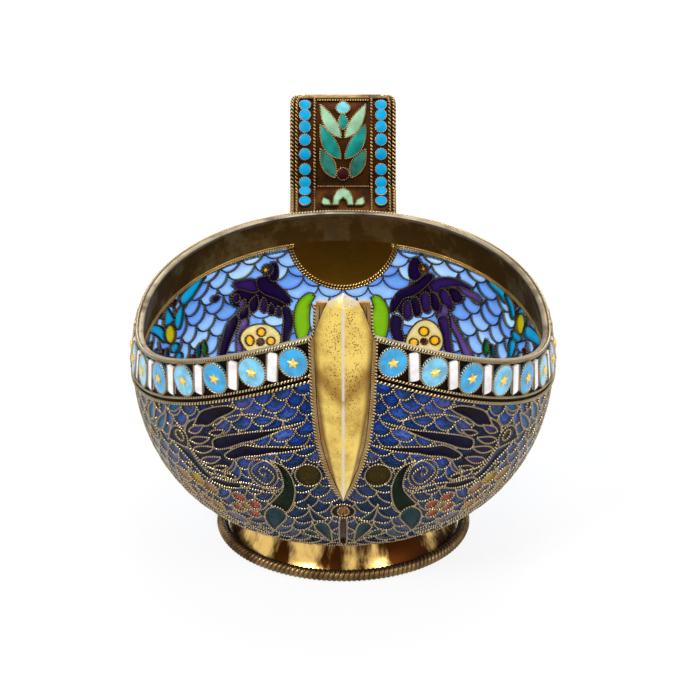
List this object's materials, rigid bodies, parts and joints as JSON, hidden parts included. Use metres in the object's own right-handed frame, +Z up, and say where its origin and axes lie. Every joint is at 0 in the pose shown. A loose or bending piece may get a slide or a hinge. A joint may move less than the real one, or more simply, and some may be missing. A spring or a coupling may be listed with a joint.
{
  "type": "kovsh",
  "caption": "Boat-shaped footed drinking vessel with see-through enamel walls, a plaque-set rim band, a keeled prow and a raised strap handle.",
  "frame": {"origin": "middle of the object's outline on the plane that the foot stands on", "axes": "+Z up; -Y towards the prow and +Y towards the handle; +X to the right for someone who faces the prow"},
  "size_m": [0.0882, 0.1256, 0.0746],
  "materials": {
    "gilt_bright": "polished gilt, worn at the edges",
    "gilt_wire": "twisted gilt wire, dark in the grooves",
    "gilt_inner": "dull brown gilt",
    "enamel_blue": "translucent enamel between gilt wires",
    "enamel_turquoise": "glossy opaque enamel",
    "enamel_leaf": "glossy opaque enamel"
  },
  "bodies": {
    "root": {"band_wire": "gilt_wire", "base_plate": "gilt_inner", "beak": "gilt_bright", "foot_ring": "gilt_bright", "foot_rope": "gilt_wire", "handle_back_plate": "gilt_bright", "handle_cheek_left": "gilt_bright", "handle_cheek_right": "gilt_bright", "handle_edge_wire_left": "gilt_wire", "handle_edge_wire_right": "gilt_wire", "handle_end_bead": "gilt_bright", "handle_front_plate": "gilt_wire", "handle_inner_wire_left": "gilt_wire", "handle_inner_wire_right": "gilt_wire", "handle_leaf_plaque": "enamel_leaf", "handle_seat": "gilt_inner", "plaque_left_01": "enamel_turquoise", "plaque_left_02": "enamel_turquoise", "plaque_left_03": "enamel_turquoise", "plaque_left_04": "enamel_turquoise", "plaque_left_05": "enamel_turquoise", "plaque_left_06": "enamel_turquoise", "plaque_left_07": "enamel_turquoise", "plaque_left_08": "enamel_turquoise", "plaque_left_09": "enamel_turquoise", "plaque_left_10": "enamel_turquoise", "plaque_left_11": "enamel_turquoise", "plaque_left_12": "enamel_turquoise", "plaque_left_13": "enamel_turquoise", "plaque_left_14": "enamel_turquoise", "plaque_right_01": "enamel_turquoise", "plaque_right_02": "enamel_turquoise", "plaque_right_03": "enamel_turquoise", "plaque_right_04": "enamel_turquoise", "plaque_right_05": "enamel_turquoise", "plaque_right_06": "enamel_turquoise", "plaque_right_07": "enamel_turquoise", "plaque_right_08": "enamel_turquoise", "plaque_right_09": "enamel_turquoise", "plaque_right_10": "enamel_turquoise", "plaque_right_11": "enamel_turquoise", "plaque_right_12": "enamel_turquoise", "plaque_right_13": "enamel_turquoise", "plaque_right_14": "enamel_turquoise", "prow_plate": "gilt_wire", "rib_back_left": "gilt_wire", "rib_back_right": "gilt_wire", "rib_front_left": "gilt_wire", "rib_front_right": "gilt_wire", "rib_prow": "gilt_wire", "rib_stern": "gilt_wire", "rim_band": "gilt_inner", "rim_wire": "gilt_wire", "wall_back_left": "enamel_blue", "wall_back_right": "enamel_blue", "wall_front_left": "enamel_blue", "wall_front_right": "enamel_blue", "wall_side_left": "enamel_blue", "wall_side_right": "enamel_blue"}
  },
  "joints": []
}
